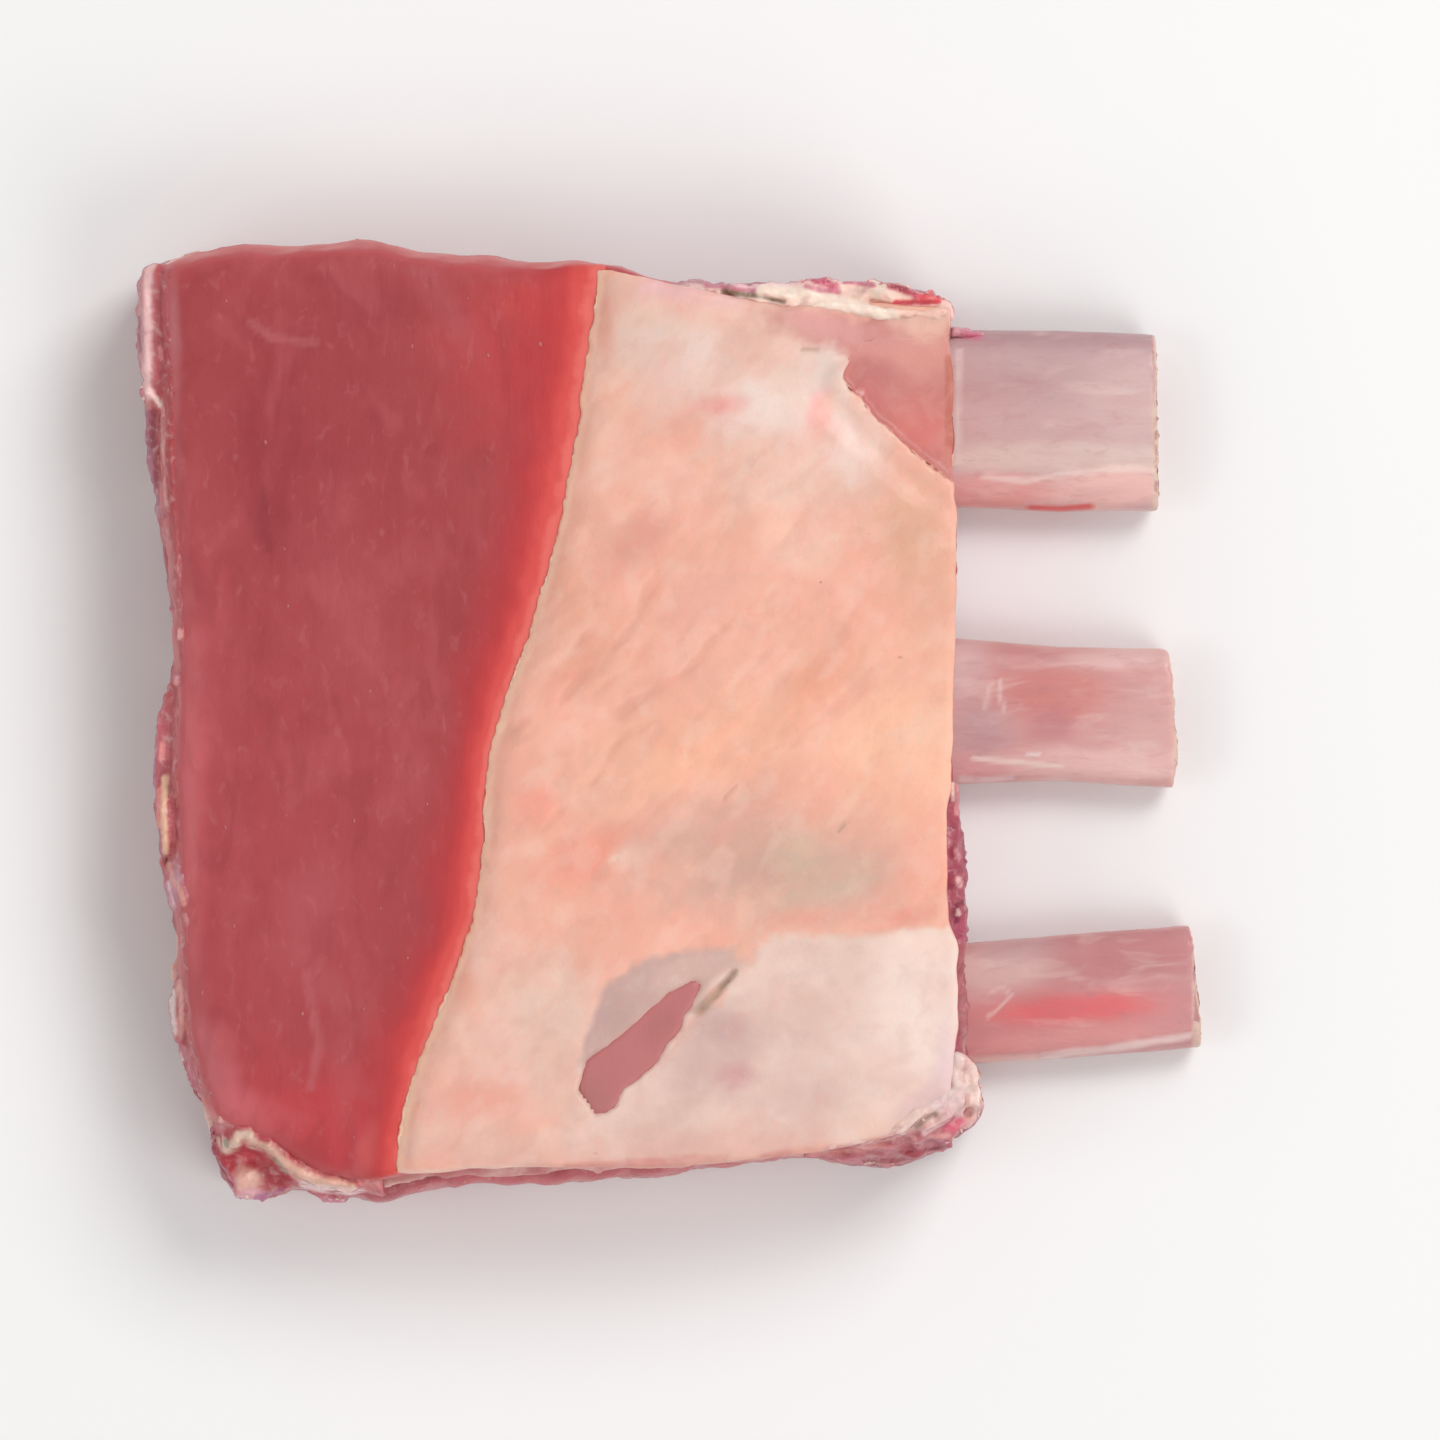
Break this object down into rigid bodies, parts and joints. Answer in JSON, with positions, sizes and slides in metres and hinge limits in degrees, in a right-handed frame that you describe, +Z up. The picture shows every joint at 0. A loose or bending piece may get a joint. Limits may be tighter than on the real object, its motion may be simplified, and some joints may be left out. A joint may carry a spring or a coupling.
{
  "type": "beef short ribs",
  "caption": "Raw slab of rib bones wrapped in red meat, with a thick cap of pale fat on top and the bones scraped clean where they stick out at one end.",
  "frame": {"origin": "middle of the slab's overall box, on the surface that its bones lie on", "axes": "+X along the bones towards their clean ends, +Y across the bones towards the widest one, +Z up towards the fat cap"},
  "size_m": [0.2456, 0.2228, 0.0478],
  "materials": {
    "fresh_bone": "fresh rib bone under a thin moist skin",
    "raw_rib_meat": "raw meat, moist",
    "seam_fat": "raw fat, waxy",
    "raw_lean": "raw lean beef, satin",
    "cap_fat": "raw fat, waxy"
  },
  "bodies": {
    "root": {"rib_bone_wide": "fresh_bone", "rib_bone_middle": "fresh_bone", "rib_bone_narrow": "fresh_bone", "rib_meat": "raw_rib_meat", "seam_fat": "seam_fat", "top_muscle": "raw_lean", "fat_cap": "cap_fat"}
  },
  "joints": []
}
